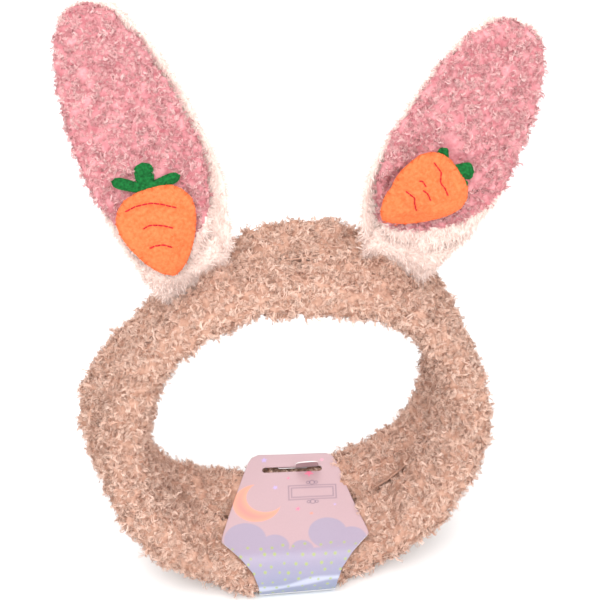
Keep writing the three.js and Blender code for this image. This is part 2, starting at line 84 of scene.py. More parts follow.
# ears, as the CAD places them: degrees about each ear's depth, width and height, and which way
# along the loop is inward, to the middle of the head. The front is pink above a half ellipse, whose
# (middle across, lowest height, height of its ends, half width) are given, and white below. A carrot
# is at (across, up, turn). Its leaves are (turn from its top, foot across, length, half width), and
# its stitched lines are runs of points from its middle, all in mm. The felt that the leaves are cut
# from is (width, length) in metres.
EARS = {
    "left": {
        "splay": -18.8, "lean": 22, "twist": 6, "inward": 1,
        "carrot": (-6.1, 28.5, -4.8), "pink": (0, 15, 66, 30), "felt": (0.034, 0.021),
        "leaves": [(56, -1, 16.5, 2.9), (-8, 0, 13, 4.8), (-84, 1, 16, 2.9)],
        "stitches": [[(-13, 13.3), (-7.7, 14.2), (-0.5, 13.5), (4.6, 11.3), (10.5, 7.7)],
                     [(-7.5, 3.3), (-4.2, 4.2), (-1, 3.2), (2.8, 1.5), (6.3, -1)],
                     [(-7.6, -6.5), (-4, -6.2), (-0.5, -6.9), (3.4, -10.1)]],
    },
    "right": {
        "splay": 25, "lean": 2, "twist": -6, "inward": -1,
        "carrot": (-9, 42.3, -32), "pink": (-12, 16, 66, 42), "felt": (0.028, 0.014),
        "leaves": [(66, -9, 6.5, 2.8), (-30, 2, 6.5, 4.8), (-70, 9, 1.5, 2.6)],
        "stitches": [[(-11.6, 12.8), (-5.3, 12.9), (-1.6, 9.8), (3, 9.8), (7.1, 8.9)],
                     [(-8.8, 2.3), (-8, 3.7), (-4.1, 3.4)],
                     [(-3.6, 1.3), (-0.5, 2), (4, 1)],
                     [(-8, -5.6), (-2.3, -4.1), (0, -5.8), (4.4, -7.4)]],
    },
}
EAR_CUP = 4.5           # mm that an ear curls forward at its half span
EAR_HALF_SPAN = 29
IN_FRONT = 40           # mm in front of the ear, clear of all that is on it

# how each padded cloth is made: the size of its mesh and how much that is smoothed, the pressure in
# it, the most that it moves and its share of spare cloth. Then how far apart its tufts are and how
# high they stand, the same for its larger lumps, and how far the whole is taken in.
LOBE = {"voxel": 2.0 * MM, "relax": 4, "pressure": 2.5, "most": 2 * MM, "slack": 0.06,
        "tufts": 5.4 * MM, "tuft_rise": 2.4 * MM, "lumps": 13 * MM, "lump_rise": 2.4 * MM,
        "sink": 1.0 * MM}
EAR_FRONT = {"voxel": 1.5 * MM, "relax": 4, "pressure": 1.5, "most": 1.2 * MM, "slack": 0.04,
             "tufts": 4.2 * MM, "tuft_rise": 1.4 * MM, "lumps": 11 * MM, "lump_rise": 1.1 * MM}
EAR_BACK = {"voxel": 1.5 * MM, "relax": 4, "pressure": 1.5, "most": 1.2 * MM, "slack": 0.03,
            "lumps": 14 * MM, "lump_rise": 0.8 * MM}
CARROT = {"voxel": 0.9 * MM, "relax": 6, "pressure": 3.0, "most": 1.8 * MM, "slack": 0.02}
PUFF_FRAMES = 16
PINNED_SEAM = 3 * MM    # half width of the lobe's cloth that the seam holds
BARE_SEAM = 1.2 * MM    # half width of the seam that has no pile
CARD_REACH = 6 * MM     # how far above the cloth the card is looked for
CARD_GAP = 5 * MM       # with the card nearer than this, the cloth doesn't swell
COVER_START = 0.5 * MM  # height above an ear's cloth from which other cloth is looked for
COVER_REACH = 3 * MM
COVER_GAP = 2.4 * MM    # with other cloth nearer than this, there is no pile

# how the front lobe swells at the inner side of each ear's foot
COLLAR = {"rise": 8.5 * MM, "spread": 15 * MM, "from_hinge": 11 * MM, "depth": 10 * MM}


# ---------- mesh helpers ----------
def new_object(name, verts, faces, smooth=True):
    mesh = bpy.data.meshes.new(name)
    if isinstance(faces, np.ndarray):
        faces = faces.tolist()
    mesh.from_pydata(np.asarray(verts).tolist(), [], faces)
    mesh.update()
    if smooth:
        mesh.shade_smooth()
    obj = bpy.data.objects.new(name, mesh)
    scene.collection.objects.link(obj)
    return obj


def unit(v):
    return v / np.maximum(np.linalg.norm(v, axis=-1, keepdims=True), 1e-12)


def points_of(obj):
    co = np.empty(len(obj.data.vertices) * 3)
    obj.data.vertices.foreach_get("co", co)
    return co.reshape(-1, 3)


def normals_of(obj):
    no = np.empty(len(obj.data.vertices) * 3)
    obj.data.vertex_normals.foreach_get("vector", no)
    return no.reshape(-1, 3)


def set_points(obj, points):
    obj.data.vertices.foreach_set("co", np.asarray(points, float).ravel())
    obj.data.update()


def apply_modifiers(obj):
    evaluated = obj.evaluated_get(bpy.context.evaluated_depsgraph_get())
    mesh = bpy.data.meshes.new_from_object(evaluated)
    obj.modifiers.clear()
    old = obj.data
    obj.data = mesh
    bpy.data.meshes.remove(old)
    mesh.name = obj.name
    mesh.shade_smooth()


def joined_nodes(names):
    """The CAD nodes' meshes in one list of corners and faces."""
    verts, faces = [], []
    for name in names:
        mesh = frame["nodes"][name].data
        first = len(verts)
        verts += [tuple(v.co) for v in mesh.vertices]
        faces += [[first + i for i in p.vertices] for p in mesh.polygons]
    return verts, faces


def tree_of(names):
    verts, faces = joined_nodes(names)
    return BVHTree.FromPolygons(verts, faces)


def grid_quads(rows, columns):
    """Faces of a grid whose corners are numbered row by row."""
    index = np.arange(rows * columns).reshape(rows, columns)
    corners = (index[:-1, :-1], index[:-1, 1:], index[1:, 1:], index[1:, :-1])
    return np.stack(corners, axis=-1).reshape(-1, 4)


def keep_outer_skin(obj):
    """Removes the loose shells that lie inside the largest one."""
    bm = bmesh.new()
    bm.from_mesh(obj.data)
    unseen = set(bm.verts)
    islands = []
    while unseen:
        island, front = set(), [next(iter(unseen))]
        while front:
            v = front.pop()
            if v in island:
                continue
            island.add(v)
            front += [e.other_vert(v) for e in v.link_edges if e.other_vert(v) not in island]
        unseen -= island
        islands.append(island)
    largest = max(islands, key=len)
    bmesh.ops.delete(bm, geom=[v for v in bm.verts if v not in largest], context="VERTS")
    bm.to_mesh(obj.data)
    bm.free()


def soft_copy(name, nodes, make):
    """A closed, evenly meshed copy of CAD nodes, without their edges."""
    obj = new_object(name, *joined_nodes(nodes))
    bm = bmesh.new()
    bm.from_mesh(obj.data)
    bmesh.ops.remove_doubles(bm, verts=bm.verts, dist=0.02 * MM)
    bm.to_mesh(obj.data)
    bm.free()
    remesh = obj.modifiers.new("remesh", "REMESH")
    remesh.mode = "VOXEL"
    remesh.voxel_size = make["voxel"]
    soften = obj.modifiers.new("soften", "SMOOTH")
    soften.iterations = make["relax"]
    soften.factor = 0.5
    apply_modifiers(obj)
    keep_outer_skin(obj)
    return obj


def puff(obj, make, pinned=None):
    """Blows the closed cloth up, with some spare cloth for creases, and applies the result."""
    before = points_of(obj)
    cloth = obj.modifiers.new("cloth", "CLOTH")
    settings = cloth.settings
    settings.quality = 3
    settings.mass = 0.25
    settings.bending_stiffness = 0.4
    settings.use_pressure = True
    settings.uniform_pressure_force = make["pressure"]
    settings.shrink_min = -make["slack"]
    settings.effector_weights.gravity = 0
    if pinned is not None:
        group = obj.vertex_groups.new(name="pinned")
        group.add([int(i) for i in np.flatnonzero(pinned)], 1.0, "REPLACE")
        settings.vertex_group_mass = "pinned"
    for number in range(1, PUFF_FRAMES + 1):
        scene.frame_set(number)
    evaluated = obj.evaluated_get(bpy.context.evaluated_depsgraph_get())
    after = np.empty(len(before) * 3)
    evaluated.data.vertices.foreach_get("co", after)
    obj.modifiers.clear()
    move = after.reshape(-1, 3) - before
    length = np.linalg.norm(move, axis=1, keepdims=True)
    set_points(obj, before + move * np.minimum(1, make["most"] / np.maximum(length, TINY)))
    scene.frame_set(1)


def noise_at(points, scale, offset=0.0):
    """Smooth noise from about -1 to 1, with features of the given size."""
    shift = Vector((offset, offset * 1.7, -offset))
    return np.array([noise.noise(Vector(p) / scale + shift) for p in points])


def resting(points):
    """The points with those near or under the floor pressed flat on it, as a soft piece rests."""
    low = points[:, 2] < SQUASH
    points[low, 2] = SQUASH * np.exp(np.maximum(-SQUASH_DEPTH, (points[low, 2] - SQUASH) / SQUASH))
    return points


def push(obj, amounts):
    """Moves each point out by its amount, but not through the floor."""
    set_points(obj, resting(points_of(obj) + normals_of(obj) * np.asarray(amounts)[:, None]))


# ---------- threads ----------
def tube_faces(rings, sides):
    """Faces of a closed tube whose corners are numbered ring by ring."""
    faces = [[i * sides + j, i * sides + (j + 1) % sides, (i + 1) * sides + (j + 1) % sides,
              (i + 1) * sides + j] for i in range(rings - 1) for j in range(sides)]
    return faces + [list(range(sides))[::-1], [(rings - 1) * sides + j for j in range(sides)]]


def tube(points, radius, sides=6):
    """Corners and faces of a closed thread along points, with pointed ends."""
    points = np.asarray(points, float)
    heading = unit(np.gradient(points, axis=0))
    helper = unit(np.cross(heading, np.array([0.3, 0.2, 1.0])))
    other = np.cross(heading, helper)
    n = len(points)
    size = radius * np.array([0.25] + [1] * (n - 2) + [0.25])
    a = np.arange(sides) * 2 * math.pi / sides
    verts = points[:, None] + size[:, None, None] * (
        helper[:, None] * np.cos(a)[None, :, None] + other[:, None] * np.sin(a)[None, :, None])
    return verts.reshape(-1, 3), tube_faces(n, sides)


def joined_tubes(name, paths, radius):
    verts, faces = [], []
    for path in paths:
        v, f = tube(path, radius)
        faces += [[len(verts) + i for i in face] for face in f]
        verts += v.tolist()
    return new_object(name, verts, faces)


def resampled(points, step):
    """A smooth line through points, as points about a step apart."""
    points = np.asarray(points, float)
    along = np.r_[0, np.cumsum(np.linalg.norm(np.diff(points, axis=0), axis=1))]
    count = max(3, int(along[-1] / step) + 1)
    at = np.linspace(0, along[-1], count)
    line = np.stack([np.interp(at, along, points[:, k]) for k in range(points.shape[1])], axis=1)
    for _ in range(3):
        line[1:-1] = (line[:-2] + 2 * line[1:-1] + line[2:]) / 4
    return line


def surface_of(obj):
    return BVHTree.FromPolygons([tuple(v.co) for v in obj.data.vertices],
                                [tuple(p.vertices) for p in obj.data.polygons])


# ---------- pile ----------
def scatter(obj, per_mm2, rng, keep=None):
    """Random points on a mesh with their smooth normals. keep(points, normals) says which stay."""
    mesh = obj.data
    mesh.calc_loop_triangles()
    corners = np.empty(len(mesh.loop_triangles) * 3, np.int32)
    mesh.loop_triangles.foreach_get("vertices", corners)
    corners = corners.reshape(-1, 3)
    co, no = points_of(obj), normals_of(obj)
    a, b, c = co[corners[:, 0]], co[corners[:, 1]], co[corners[:, 2]]
    area = np.linalg.norm(np.cross(b - a, c - a), axis=1) / 2
    count = int(area.sum() / MM ** 2 * per_mm2)
    face = rng.choice(len(corners), count, p=area / area.sum())
    r1, r2 = np.sqrt(rng.random(count))[:, None], rng.random(count)[:, None]
    weights = (1 - r1, r1 * (1 - r2), r1 * r2)
    points = sum(w * co[corners[face, i]] for i, w in enumerate(weights))
    normals = unit(sum(w * no[corners[face, i]] for i, w in enumerate(weights)))
    if keep is not None:
        kept = keep(points, normals)
        points, normals = points[kept], normals[kept]
    return points, normals


def points_tree(points):
    tree = KDTree(len(points))
    for i, p in enumerate(points):
        tree.insert(p, i)
    tree.balance()
    return tree


def spaced(points, spacing):
    """Picks points so that no two are closer than the spacing."""
    tree = points_tree(points)
    free = np.ones(len(points), bool)
    picked = []
    for i, p in enumerate(points):
        if not free[i]:
            continue
        picked.append(i)
        for _, j, _ in tree.find_range(p, spacing):
            free[j] = False
    return points[picked]


class Clumps:
    """Tufts that the pile gathers in: how near each point is to the middle of its tuft."""
    TRIES = 5           # random points for each square as wide as the spacing
    REACH = 0.75        # radius of a tuft as a share of the spacing

    def __init__(self, obj, spacing, rng):
        candidates, _ = scatter(obj, self.TRIES / (spacing / MM) ** 2, rng)
        self.centres = spaced(candidates, spacing)
        self.radius = spacing * self.REACH
        self.tree = points_tree(self.centres)

    def at(self, points):
        """Share of the way from tuft middle to edge, the vectors from the middle, tuft numbers."""
        found = [self.tree.find(p) for p in points]
        away = points - np.array([f[0] for f in found])
        share = np.minimum(1, np.array([f[2] for f in found]) / self.radius)
        return share, away / self.radius, np.array([f[1] for f in found])


def clearance(points, normals, tree, reach):
    """Free distance above each point, up to reach."""
    free = np.full(len(points), reach)
    for i, (p, n) in enumerate(zip(points, normals)):
        hit = tree.ray_cast(Vector(p), Vector(n), reach)
        if hit[0] is not None:
            free[i] = hit[3]
    return free


def ribbons(name, roots, normals, lean, height, look, rng, lock=None):
    """Fibres as thin curled ribbons: each rises from its root, curls round and bends over. Fibres
    of one lock run side by side."""
    n, segments = len(roots), look["segments"]
    if lock is None:
        lock = np.arange(n)
    locks = lock.max() + 1

    def by_lock(low, high):
        return rng.uniform(low, high, locks)[lock]

    def along_fibre(values):
        return values[:, None, None]

    t = np.linspace(0, 1, segments + 1)[None, :, None]
    across = unit(np.cross(normals, rng.normal(size=(locks, 3))[lock]))[:, None]
    along = np.cross(normals, across[:, 0])[:, None]
    spin = along_fibre(rng.choice([-1, 1], locks)[lock])
    phase = along_fibre(by_lock(0, 2 * math.pi) + rng.normal(size=n) * 0.3)
    turns = along_fibre(by_lock(*look["turns"]))
    arch = along_fibre(look["arch"] * (by_lock(0.75, 1.15) + rng.normal(size=n) * 0.04))
    curl = along_fibre(look["curl"] * by_lock(0.6, 1.3) * rng.uniform(0.85, 1.15, n))
    width = along_fibre(look["width"] * rng.uniform(0.7, 1.25, n))
    height = along_fibre(height)

    angle = phase + turns * 2 * math.pi * t * spin
    size = curl * np.minimum(1, 0.4 + t)
    path = roots[:, None] + normals[:, None] * np.sin(t * math.pi * arch) * height
    path = path + lean[:, None] * t * height
    path = path + across * size * (np.cos(angle) - np.cos(phase))
    path = path + along * size * (np.sin(angle) - np.sin(phase))
    face = unit(normals + 0.25 * rng.normal(size=(n, 3)))[:, None]
    side = unit(np.cross(unit(np.gradient(path, axis=1)), face)) * width / 2 * (1 - 0.6 * t ** 3)
    verts = np.stack([path - side, path + side], axis=2).reshape(-1, 3)
    first = (np.arange(n) * (segments + 1) * 2)[:, None] + np.arange(segments)[None] * 2
    faces = np.stack([first, first + 1, first + 3, first + 2], axis=2).reshape(-1, 4)
    return new_object(name, resting(verts), faces)


def assign_tones(obj, look, level):
    """Gives each fibre one of the look's materials, the last of them at level 1 and above."""
    for material in look["tones"]:
        obj.data.materials.append(material)
    count = len(look["tones"])
    tone = np.clip((level * count).astype(int), 0, count - 1).astype(np.int32)
    obj.data.polygons.foreach_set("material_index", np.repeat(tone, look["segments"]))


def curly_pile(name, obj, clumps, look, rng, keep, blocked):
    """Curled locks of fibre, gathered in tufts, where keep says so and nothing is in their way."""
    lock_roots, lock_normals = scatter(obj, look["per_mm2"] / look["fibres"], rng, keep)
    free = clearance(lock_roots, lock_normals, blocked, FREE_REACH)
    open_ = free > PILE_GAP
    lock_roots, lock_normals, free = lock_roots[open_], lock_normals[open_], free[open_]
    share, away, number = clumps.at(lock_roots)
    locks = len(lock_roots)
    # the middle of a tuft stands highest, and a few locks stray above the rest
    tuft_size = 0.8 + 0.4 * np.random.default_rng(SEED).random(len(clumps.centres))[number]
    height = look["height"] * (1.05 - 0.5 * share ** 2) * tuft_size * rng.uniform(0.8, 1.2, locks)
    stray = rng.random(locks) < look["stray"]
    height[stray] *= rng.uniform(1.3, 1.9, stray.sum())
    height = np.minimum(height, free * FREE_SHARE)
    lean = away * 0.7 + rng.normal(size=(locks, 3)) * 0.5
    tips = lock_roots + (lock_normals * 0.8 + lean) * height[:, None]
    margin = look["curl"] + 0.7 * MM
    clear = np.array([blocked.find_nearest(Vector(tip), margin)[0] is None for tip in tips])

    lock = np.repeat(np.flatnonzero(clear), look["fibres"])
    n = len(lock)
    normals = lock_normals[lock]
    offset = rng.normal(size=(n, 3)) * look["spread"]
    offset -= normals * np.sum(offset * normals, axis=1, keepdims=True)
    lean = lean[lock] + rng.normal(size=(n, 3)) * 0.08
    height = height[lock] * rng.uniform(0.85, 1.15, n)
    roots = lock_roots[lock] + offset - normals * PILE_ROOT
    pile = ribbons(name, roots, normals, lean, height, look, rng, lock)
    # painted shade and light: locks toward a tuft's edge, in the gaps between tufts, get darker tones and those at
    # its middle lighter ones, with some random tone besides
    level = (0.95 - 0.62 * share + rng.normal(size=locks) * 0.2)[lock] + rng.normal(size=n) * 0.12
    assign_tones(pile, look, level)
    return pile


def short_pile(name, obj, look, rng, keep=None, blocked=None, comb=(0, 0, 0)):
    """Short soft plush: nearly straight fibres, all leaning a little the same way."""
    roots, normals = scatter(obj, look["per_mm2"], rng, keep)
    n = len(roots)
    height = look["height"] * rng.uniform(0.7, 1.2, n)
    if blocked is not None:
        height = np.minimum(height, clearance(roots, normals, blocked, FREE_REACH) * FREE_SHARE)
    lean = np.array(comb) + rng.normal(size=(n, 3)) * 0.45
    pile = ribbons(name, roots - normals * PILE_ROOT, normals, lean, height, look, rng)
    assign_tones(pile, look, rng.random(n))
    return pile


# ---------- materials ----------
def hex_colour(code):
    """Linear colour of a hex code."""
    def linear(c):
        return c / 12.92 if c <= 0.04045 else ((c + 0.055) / 1.055) ** 2.4
    return tuple(linear(int(code[i:i + 2], 16) / 255) for i in (0, 2, 4)) + (1,)


def principled(name, colour, roughness=0.9, sheen=0.0, sheen_tint=None, specular=0.5):
    material = bpy.data.materials.new(name)
    material.use_nodes = True
    shader = material.node_tree.nodes["Principled BSDF"]
    shader.inputs["Base Color"].default_value = colour
    shader.inputs["Roughness"].default_value = roughness
    shader.inputs["Specular IOR Level"].default_value = specular
    shader.inputs["Sheen Weight"].default_value = sheen
    shader.inputs["Sheen Roughness"].default_value = 0.5
    if sheen_tint:
        shader.inputs["Sheen Tint"].default_value = sheen_tint
    return material


def tones(name, codes):
    """A material for each tone of a pile, from the darkest to the lightest. In a curly pile the tones are painted
    shade and light: the darker ones down between its tufts, the lighter ones on their middles.
    """
    return [principled(f"{name}_{i}", hex_colour(c), 0.95, 0.35, hex_colour(codes[-1]), 0.2)
            for i, c in enumerate(codes)]


def add_node(tree, kind, **values):
    """A new shader node with some of its inputs set, their names' spaces as underscores."""
    node = tree.nodes.new("ShaderNode" + kind)
    for name, value in values.items():
        node.inputs[name.replace("_", " ")].default_value = value
    return node


def link(tree, *links):
    """Links nodes, each link being (node, its output, next node, that one's input)."""
    for source, output, target, socket in links:
        tree.links.new(source.outputs[output], target.inputs[socket])


def cloth_ground(name, dark, light, size, bump, sheen=0.3):
    """The cloth under the pile: blotchy, with a knitted grain. Under the beige and pink piles its colours are
    darker than the fibres, as painted shade in the gaps between them.
    """
    material = principled(name, hex_colour(light), 0.95, sheen, hex_colour(light), 0.2)
    tree = material.node_tree
    shader = tree.nodes["Principled BSDF"]
    where = add_node(tree, "TexCoord")
    blotches = add_node(tree, "TexNoise", Scale=1 / size, Detail=6)
    ramp = add_node(tree, "ValToRGB")
    for i, (code, position) in enumerate(((dark, 0.32), (light, 0.68))):
        ramp.color_ramp.elements[i].color = hex_colour(code)
        ramp.color_ramp.elements[i].position = position
    grain = add_node(tree, "TexVoronoi", Scale=3 / size)
    raised = add_node(tree, "Bump", Strength=bump, Distance=0.5 * MM)
    link(tree, (where, "Object", blotches, "Vector"), (where, "Object", grain, "Vector"),
         (blotches, "Fac", ramp, "Fac"), (ramp, "Color", shader, "Base Color"),
         (grain, "Distance", raised, "Height"), (raised, "Normal", shader, "Normal"))
    return material


def printed_card():
    """Gloss coated card: the print is a colour at each point, under fine paper mottle."""
    material = principled("gloss_print", (1, 1, 1, 1), 0.4, specular=0.35)
    tree = material.node_tree
    shader = tree.nodes["Principled BSDF"]
    ink = add_node(tree, "Attribute")
    ink.attribute_name = "print"
    where = add_node(tree, "TexCoord")
    mottle = add_node(tree, "TexNoise", Scale=900)
    shade = add_node(tree, "MapRange", To_Min=0.97, To_Max=1.03)
    gloss = add_node(tree, "MapRange", To_Min=0.34, To_Max=0.5)
    mix = add_node(tree, "VectorMath")
    mix.operation = "SCALE"
    link(tree, (where, "Object", mottle, "Vector"), (mottle, "Fac", shade, "Value"),
         (mottle, "Fac", gloss, "Value"), (ink, "Color", mix, 0), (shade, "Result", mix, "Scale"),
         (mix, "Vector", shader, "Base Color"), (gloss, "Result", shader, "Roughness"))
    return material


# tones from darkest to lightest; in the beige and pink curly piles they are painted shade and light, darker
# between the tufts and lighter on their middles
BEIGE = tones("beige_fibre", ["cca38f", "d6b09e", "dfbdab", "e7c8b8"])
PINK = tones("pink_fibre", ["c9878b", "d59c9e", "ddacac", "e6bdbb"])
WHITE = tones("white_fibre", ["ecd6cd", "f1ddd5", "f5e5de"])
ORANGE_TONES = tones("orange_fibre", ["e0663a", "ea784c", "f48e66"])
GREEN_TONES = tones("green_fibre", ["0c5124", "12662d", "227a3c"])
# the beige and pink grounds are painted shade: coloured darker than their fibres so that the gaps in the pile read
# as shadow
BEIGE_SHADED_GROUND = cloth_ground("beige_shaded_ground", "a67c69", "caa28f", 4 * MM, 0.6)
PINK_SHADED_GROUND = cloth_ground("pink_shaded_ground", "b56c73", "d8999d", 4 * MM, 0.6)
WHITE_GROUND = cloth_ground("white_ground", "e9d4cb", "f4e4dc", 6 * MM, 0.4)
ORANGE = cloth_ground("orange_velour", "e46436", "ec7c4c", 1.6 * MM, 0.15, sheen=0.5)
GREEN = cloth_ground("green_felt", "0a441d", "1b7437", 1.2 * MM, 0.6)
ORANGE_THREAD = cloth_ground("orange_thread", "c8502a", "e2703c", 0.6 * MM, 0.5)
RED = cloth_ground("red_thread", "a81528", "cf2a38", 0.8 * MM, 0.5)
BEIGE_THREAD = cloth_ground("beige_thread", "b98f7c", "d2a996", 0.8 * MM, 0.5)
ELASTIC = cloth_ground("woven_elastic", "cfc2b2", "e9e0d4", 1.0 * MM, 0.6)

# piles: fibres per square mm, sizes in metres, turns of curl, how far round a fibre bends over, and
# for the curly ones the fibres in a lock, how far apart they are and the share that stray
CURLY = {"turns": (0.7, 1.4), "arch": 0.85, "segments": 3, "fibres": 5}
SHORT = {"turns": (0.1, 0.4), "arch": 0.6, "segments": 2}
BEIGE_PILE = {**CURLY, "per_mm2": 1.75, "height": 2.2 * MM, "curl": 0.85 * MM, "width": 0.34 * MM,
              "tones": BEIGE, "spread": 0.4 * MM, "stray": 0.006}
PINK_PILE = {**CURLY, "per_mm2": 2.3, "height": 1.8 * MM, "curl": 0.62 * MM, "width": 0.3 * MM,
             "tones": PINK, "spread": 0.34 * MM, "stray": 0.004}
WHITE_PILE = {**SHORT, "per_mm2": 2.4, "height": 2.2 * MM, "curl": 0.35 * MM, "width": 0.3 * MM,
              "tones": WHITE}
ORANGE_PILE = {**SHORT, "per_mm2": 3.0, "height": 0.5 * MM, "curl": 0.08 * MM, "width": 0.16 * MM,
               "tones": ORANGE_TONES}
GREEN_PILE = {**SHORT, "per_mm2": 4.0, "height": 0.45 * MM, "curl": 0.1 * MM, "width": 0.12 * MM,
              "tones": GREEN_TONES}
COMB = 0.4              # how far the ear's plush leans down
FOOT_COMB = 0.25        # how far the foot's plush leans up

# the ear's white foot, in mm: how far it goes up from the hinge and down, the length that bends, its
# half widths and half depths at shares of its height, and how much narrower its inner side is
SKIRT = {"height": 12, "depth": 9.5, "bend_from": 5, "bend_to": 7, "rings": 12, "around": 48,
         "half_widths": ((0, 0.5, 1), (19.5, 21.5, 22)),
         "half_depths": ((0, 0.3, 0.55, 0.78, 1), (3.5, 4.8, 5.8, 4.8, 1.5)),
         "inner_share": 0.8, "squareness": 0.8, "lumps": 9 * MM, "lump_rise": 0.7 * MM}

# the carrot's stitched lines, in mm: how deep and how wide the pad is drawn in along them and what
# they hold of it, the thread's radius, a stitch's length, the depth of its ends and rise of its
# middle, and the steps along them for the thread and for the pad. A stitch has over 3 points.
LINE = {"draw": 1.0, "spread": 1.6, "held": 0.9, "radius": 0.34, "stitch": 2.8, "end": -0.45,
        "rise": 0.8, "step": 0.35, "pad_step": 0.8, "fewest": 3}

# the stitches round the carrot's edge: how many, how unevenly spaced, the angle in which each finds
# the edge, and in mm how far they reach past it and in from it, and how high they stand
WHIP = {"count": 24, "unevenness": 0.2, "window": 0.07, "rim": 1.2, "past": 0.15, "reach": 2.1,
        "slant": 0.035, "rise": 2.6, "sink": 1.2, "points": 7, "radius": 0.22}

# the felt leaves, in mm: height of their feet on the carrot, the part under it, how far in front of
# the ear they lie and how much further each next one does. A leaf's width at its foot and what it
# gains to its end are shares of its own width, and its end is round from a share of its length.
LEAF = {"foot_height": 19.7, "hidden": 4, "depth": 11.2, "layer": 0.12, "half_thickness": 0.65,
        "foot_share": 0.72, "widening": 0.34, "tip_from": 0.72, "rows": 14, "columns": 10}

# inks of the card, as linear colours
PINK_SKY, PALE_SKY, LILAC, PALE_BLUE, WHITE_INK, DOT_INK, MOON_INK, MOON_BLUSH, FRAME_INK = (
    hex_colour(c)[:3] for c in ("b79a9f", "bb9ea3", "a093a6", "7b8ba7", "c4c8da", "a2b346", "e29c82",
                                "d26f82", "6d5c70"))
ROSE, VIOLET, PEACH, BLUSH = (hex_colour(c)[:3] for c in ("e07a96", "b9a3d6", "d98f7a", "e7a0b4"))

# the card's print, in mm across it and along it from the fold
MOON = {"centre": (-19, 60), "radius": 12.5, "bite": (-14.2, 64), "bite_share": 0.82}
STARS = (((9, 79), 2.6, 0.3, ROSE), ((-15, 89), 1.9, 0.9, VIOLET), ((-9, 70), 1.5, 0.5, VIOLET),
         ((2.5, 55), 1.4, 1.2, ROSE), ((9.5, 51.5), 1.1, 0.2, PEACH), ((22, 57), 0.9, 0.7, VIOLET),
         ((-2, 76), 1.0, 0.1, ROSE), ((16, 88), 1.2, 0.4, BLUSH))
FRAME = {"centre": (10.5, 66), "half_width": 12.5, "half_height": 4.6, "inset": 1.5,
         "curl_height": 1.9, "curls": ((0, 1.3), (-2.1, 0.8), (2.1, 0.8)), "half_line": 0.22}
CLOUDS = ((-26, 36, 11), (-11, 31, 7.5), (3, 28, 6), (17, 38, 10), (29, 33, 8))
CLOUD_TOP = 29
DOTS_TOP = 33
PRINT = printed_card()
WHITE_CARD = principled("card_core", (0.86, 0.85, 0.84, 1), 0.6)


def finish_piece(obj, body, replaces=()):
    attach(obj, body)
    if replaces:
        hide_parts(*replaces)


def ear_frame(side):
    """The ear's own frame: x across it, z up it and -y to its pink front."""
    joint = next(j for j in frame["joints"] if j["child"] == f"{side}_ear")
    ear = EARS[side]
    turns = [Matrix.Rotation(math.radians(a), 4, axis)
             for a, axis in ((ear["splay"], "Y"), (-ear["lean"], "X"), (ear["twist"], "Z"))]
    return Matrix.Translation(joint["pos_m"]) @ turns[0] @ turns[1] @ turns[2]


def ear_up(side):
    return np.array(ear_frame(side).to_3x3() @ Vector((0, 0, 1)))


def foot_axes(side):
    """Where an ear's hinge is, outwards from the loop there, and along the loop to the right."""
    hinge = ear_frame(side).translation
    radial = Vector((hinge.x, 0, hinge.z - LOOP_CENTRE[2])).normalized()
    return hinge, radial, Vector((radial.z, 0, -radial.x))


def collars():
    """Where the front lobe swells beside each ear's foot, and the way out from the loop there."""
    for side, ear in EARS.items():
        hinge, radial, along = foot_axes(side)
        middle = hinge + along * ear["inward"] * COLLAR["from_hinge"] - Vector((0, COLLAR["depth"], 0))
        yield np.array(middle), np.array(radial)


# ---------- band ----------
def lumpy(obj, make, clumps):
    """How far each point of a cloth stands out, in its tufts and in its larger lumps."""
    share, _, _ = clumps.at(points_of(obj))
    lumps = noise_at(points_of(obj), make["lumps"])
    return make["tuft_rise"] * (1 - share ** 2) + make["lump_rise"] * lumps


def quarter(above, right):
    """Says which points are in one quarter of the loop, and not in the seam."""
    def inside(points, normals):
        in_half = (points[:, 2] > LOOP_CENTRE[2]) == above
        in_seam = np.abs(points[:, 1]) < BARE_SEAM
        return in_half & ((points[:, 0] > 0) == right) & ~in_seam
    return inside


def build_lobe(side):
    """One padded lobe of the band and its curly pile. The seam cloth stays put as it is puffed."""
    rng = np.random.default_rng(SEED + len(side))
    nodes = [f"band_{side}_cover", f"band_{side}_wadding"]
    lobe = soft_copy(f"band_{side}_fleece", nodes, LOBE)
    puff(lobe, LOBE, pinned=np.abs(points_of(lobe)[:, 1]) < PINNED_SEAM)
    clumps = Clumps(lobe, LOBE["tufts"], rng)
    points, normals = points_of(lobe), normals_of(lobe)
    swell = lumpy(lobe, LOBE, clumps) - LOBE["sink"]
    near_card = clearance(points, normals, CARD_TREE, CARD_REACH) < CARD_GAP
    swell[near_card] = np.minimum(swell[near_card], 0)
    if side == "front":
        for centre, outward in collars():
            away = np.linalg.norm(points - centre, axis=1)
            facing = np.clip(normals @ outward, 0, 1)
            swell += COLLAR["rise"] * facing * np.exp(-(away / COLLAR["spread"]) ** 2)
    push(lobe, swell)
    lobe.data.materials.append(BEIGE_SHADED_GROUND)
    finish_piece(lobe, "band", nodes)
    for part, above, right in (("upper_left", True, False), ("upper_right", True, True),
                               ("lower_left", False, False), ("lower_right", False, True)):
        name = f"band_{side}_curls_{part}"
        pile = curly_pile(name, lobe, clumps, BEIGE_PILE, rng, quarter(above, right), CARD_TREE)
        finish_piece(pile, "band")


# ---------- ears ----------
def is_pink(side, points):
    """Which points of an ear's front are pink."""
    place = ear_frame(side)
    local = (points - np.array(place.translation)) @ np.array(place.to_3x3()) / MM
    middle, low, top, half = EARS[side]["pink"]
    down = np.maximum(0, top - local[:, 2]) / (top - low)
    return (down == 0) | (((local[:, 0] - middle) / half) ** 2 + down ** 2 < 1)


def clear_of(node):
    """Says which points have no cloth of a CAD node close above them."""
    tree = tree_of([node])

    def bare(points, normals):
        start = points + normals * COVER_START
        return clearance(start, normals, tree, COVER_REACH) > COVER_GAP
    return bare


